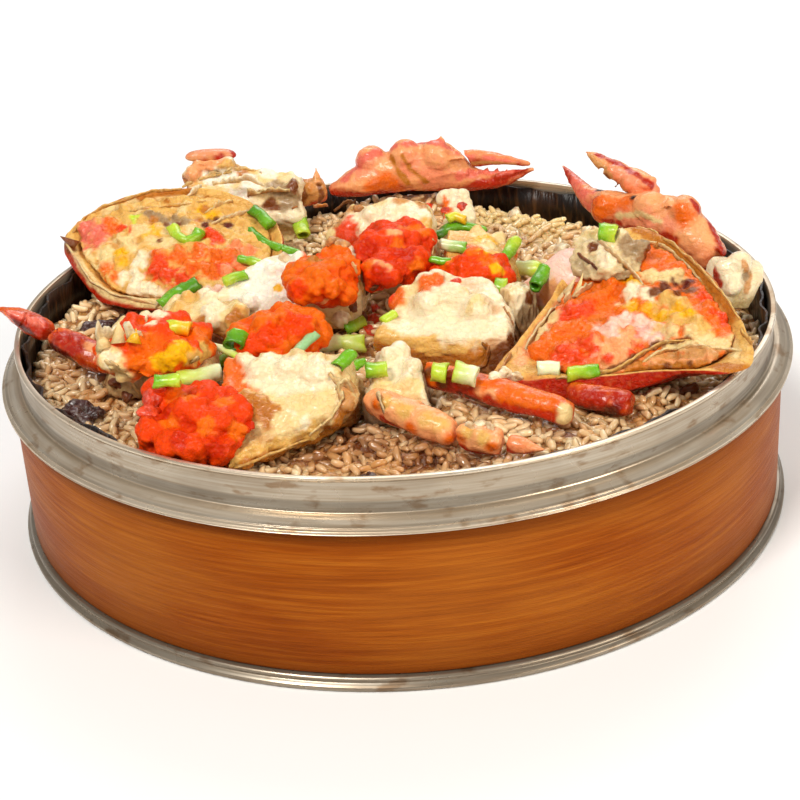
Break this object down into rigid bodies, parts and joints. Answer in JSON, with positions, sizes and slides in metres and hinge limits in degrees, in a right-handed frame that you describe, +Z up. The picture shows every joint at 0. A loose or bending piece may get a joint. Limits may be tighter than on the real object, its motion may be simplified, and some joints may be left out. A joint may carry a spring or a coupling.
{
  "type": "steamed seafood sticky rice",
  "caption": "Round steamer basket of sticky rice topped with cut crab: upturned shells with roe, claws, legs, body pieces, mushroom and chopped spring onion.",
  "frame": {"origin": "on the basket's axis, in the plane of its foot", "axes": "+Z up along the basket's axis, -Y towards the front, +X to the right"},
  "size_m": [0.26, 0.26, 0.0964],
  "materials": {
    "wood": "oiled bent wood, fine horizontal grain",
    "steel": "worn rolled steel",
    "leaf": "dark wet leaf",
    "rice": "moist sticky rice",
    "red_shell": "cooked crab shell, satin",
    "pale_shell": "thin inner shell, moist",
    "flesh": "steamed crab meat, moist",
    "roe": "crab roe, glossy and lobed",
    "gill": "soft brown gills",
    "mushroom": "dark soaked mushroom",
    "onion": "cut spring onion"
  },
  "bodies": {
    "root": {"wood_band": "wood", "base_disc": "wood", "top_ring": "steel", "foot_ring": "steel", "leaf_lining": "leaf", "rice": "rice", "shell_left": "red_shell", "shell_right": "red_shell", "shell_chip": "red_shell", "claw_back_palm": "red_shell", "claw_back_finger": "red_shell", "claw_back_wrist": "red_shell", "claw_right_palm": "red_shell", "claw_right_finger": "red_shell", "leg_front_upper": "red_shell", "leg_front_middle": "red_shell", "leg_front_tip": "red_shell", "leg_middle": "red_shell", "leg_stub": "red_shell", "leg_left_upper": "red_shell", "leg_left_lower": "red_shell", "clam": "pale_shell", "shell_plate": "pale_shell", "chunk_centre": "flesh", "chunk_front": "flesh", "chunk_middle": "flesh", "chunk_left": "flesh", "chunk_left_low": "flesh", "chunk_front_left": "flesh", "chunk_back": "flesh", "chunk_back_right": "flesh", "chunk_small": "flesh", "arm_stub": "flesh", "filling_left": "roe", "filling_right": "roe", "roe_front_left": "roe", "roe_upper_left": "roe", "roe_left": "roe", "roe_middle": "roe", "roe_back": "roe", "roe_back_right": "roe", "gills_back": "gill", "gill_right": "gill", "mushroom_1": "mushroom", "mushroom_2": "mushroom", "mushroom_3": "mushroom", "onion_01": "onion", "onion_02": "onion", "onion_03": "onion", "onion_04": "onion", "onion_05": "onion", "onion_06": "onion", "onion_07": "onion", "onion_08": "onion", "onion_09": "onion", "onion_10": "onion", "onion_11": "onion", "onion_12": "onion", "onion_13": "onion", "onion_14": "onion"}
  },
  "joints": []
}
